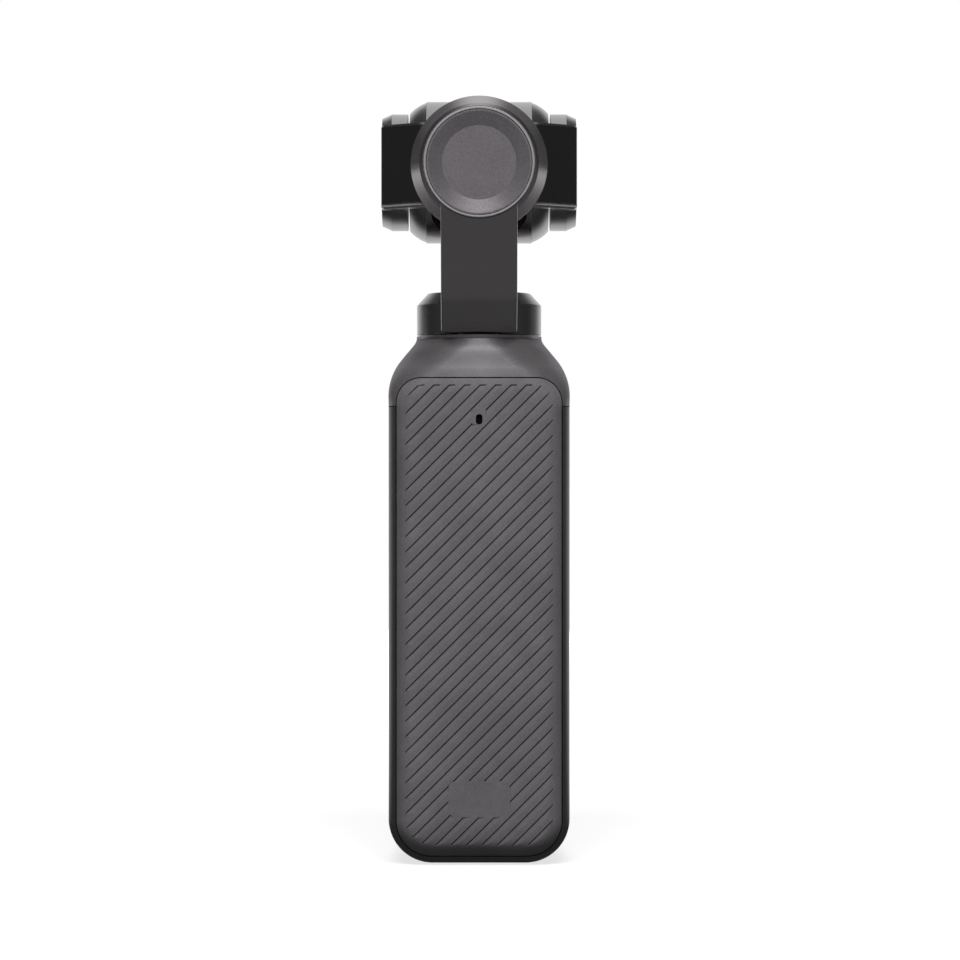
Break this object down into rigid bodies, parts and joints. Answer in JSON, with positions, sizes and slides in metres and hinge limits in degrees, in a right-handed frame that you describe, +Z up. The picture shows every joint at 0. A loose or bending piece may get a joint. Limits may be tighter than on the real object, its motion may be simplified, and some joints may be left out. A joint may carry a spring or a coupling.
{
  "type": "pocket gimbal camera",
  "caption": "Hand-held camera on a motorised pan, roll and tilt head, with a turning screen, thumb stick and record button on its grip.",
  "frame": {"origin": "on the pan axis, in the plane of the flat base of the grip", "axes": "+Z up along the grip, -Y to the front where the screen and lens are, +Y to the ribbed back"},
  "size_m": [0.0356, 0.0423, 0.1397],
  "materials": {
    "back_cover_plastic": "fine grain moulded plastic, matte",
    "shell_plastic": "fine grain painted plastic, satin",
    "front_plastic": "matte black plastic",
    "screen_body": "satin black plastic",
    "screen_cover_glass": "polished, dark",
    "display": "dark display panel",
    "record_button_plastic": "satin",
    "record_red": "red inlay",
    "light_pipe": "frosted clear",
    "arm_metal": "dark anodised, fine bead blast",
    "rotor_metal": "dark anodised, satin",
    "cap_ring_metal": "turned and anodised grey",
    "cap_insert": "fine bead blast, anodised",
    "yoke_black": "black anodised, satin",
    "camera_shell": "satin grey plastic",
    "camera_black": "black, satin",
    "lens_glass": "coated optical glass",
    "chassis_metal": "die cast, raw",
    "battery_wrap": "aluminium laminate pouch in dark film",
    "circuit_board": "solder mask",
    "bright_steel": "bare steel",
    "stator_steel": "laminated core with copper windings",
    "magnet_steel": "nickel-plated magnets and steel cups",
    "soft_black": "soft",
    "ribbon_film": "polyimide film",
    "bush_plastic": "low-friction plastic",
    "stick_metal": "bare steel",
    "component_black": "moulded component"
  },
  "bodies": {
    "handle": {"side_frame": "shell_plastic", "rear_cover": "back_cover_plastic", "top_shell": "shell_plastic", "front_panel": "front_plastic", "inner_chassis": "chassis_metal", "chassis_screws": "bright_steel", "battery": "battery_wrap", "main_board": "circuit_board", "shield_can": "bright_steel", "usb_c_socket": "bright_steel", "card_socket": "bright_steel", "speaker": "front_plastic", "rear_microphone": "component_black", "microphone_boot": "soft_black", "control_board": "circuit_board", "record_switch": "component_black", "joystick_base": "front_plastic", "status_light_pipe": "light_pipe", "screen_bush": "bush_plastic", "pan_motor_base": "chassis_metal", "pan_stator": "stator_steel", "pan_bearings": "bright_steel"},
    "screen": {"screen_frame": "screen_body", "screen_pivot": "stick_metal", "display_panel": "display", "screen_glass": "screen_cover_glass"},
    "joystick_ring": {"joystick_ring": "stick_metal"},
    "joystick_stem": {"joystick_stem": "stick_metal"},
    "joystick_cap": {"joystick_cap": "front_plastic"},
    "record_button": {"record_button": "record_button_plastic", "record_inlay": "record_red"},
    "arm": {"pan_arm": "arm_metal", "pan_rotor_housing": "rotor_metal", "pan_rotor_cup": "magnet_steel", "pan_magnets": "magnet_steel", "pan_shaft": "bright_steel", "arm_ribbon": "ribbon_film", "arm_inner_cover": "arm_metal", "roll_cap_ring": "cap_ring_metal", "roll_cap_disc": "cap_insert", "roll_stator": "stator_steel", "roll_bearings": "bright_steel"},
    "yoke": {"yoke": "yoke_black", "roll_magnets": "magnet_steel", "roll_shaft": "bright_steel", "tilt_motor_housing": "rotor_metal", "tilt_pivot_housing": "rotor_metal", "tilt_stator": "stator_steel", "tilt_bearings": "bright_steel"},
    "camera": {"camera_front_shell": "camera_shell", "camera_rear_shell": "camera_shell", "camera_rear_plate": "camera_black", "lens_bezel": "camera_black", "lens_barrel": "camera_black", "front_glass": "lens_glass", "lens_elements": "lens_glass", "sensor_board": "circuit_board", "tilt_shafts": "bright_steel", "tilt_rotor_cup": "magnet_steel", "tilt_magnets": "magnet_steel"}
  },
  "joints": [
    {"name": "pan", "type": "hinge", "parent": "handle", "child": "arm", "pos_m": [0, 0, 0.1], "axis": [0, 0, -1], "range_deg": [-60, 243]},
    {"name": "roll", "type": "hinge", "parent": "arm", "child": "yoke", "pos_m": [0, 0.018, 0.12662], "axis": [0, -1, 0], "range_deg": [-220, 63]},
    {"name": "tilt", "type": "hinge", "parent": "yoke", "child": "camera", "pos_m": [0, 0, 0.12662], "axis": [-1, 0, 0], "range_deg": [-180, 98]},
    {"name": "screen_turn", "type": "hinge", "parent": "handle", "child": "screen", "pos_m": [0, -0.0165, 0.057], "axis": [0, 1, 0], "range_deg": [0, 90]},
    {"name": "stick_up_down", "type": "hinge", "parent": "handle", "child": "joystick_ring", "pos_m": [-0.007, -0.0124, 0.017], "axis": [1, 0, 0], "range_deg": [-8, 8], "stiffness_Nm_per_rad": 0.02},
    {"name": "stick_left_right", "type": "hinge", "parent": "joystick_ring", "child": "joystick_stem", "pos_m": [-0.007, -0.0124, 0.017], "axis": [0, 0, 1], "range_deg": [-8, 8], "stiffness_Nm_per_rad": 0.02},
    {"name": "stick_press", "type": "slide", "parent": "joystick_stem", "child": "joystick_cap", "axis": [0, 1, 0], "range_m": [0, 0.0003], "stiffness_N_per_m": 2500},
    {"name": "record_press", "type": "slide", "parent": "handle", "child": "record_button", "axis": [0, 1, 0], "range_m": [0, 0.0003], "stiffness_N_per_m": 2500}
  ]
}
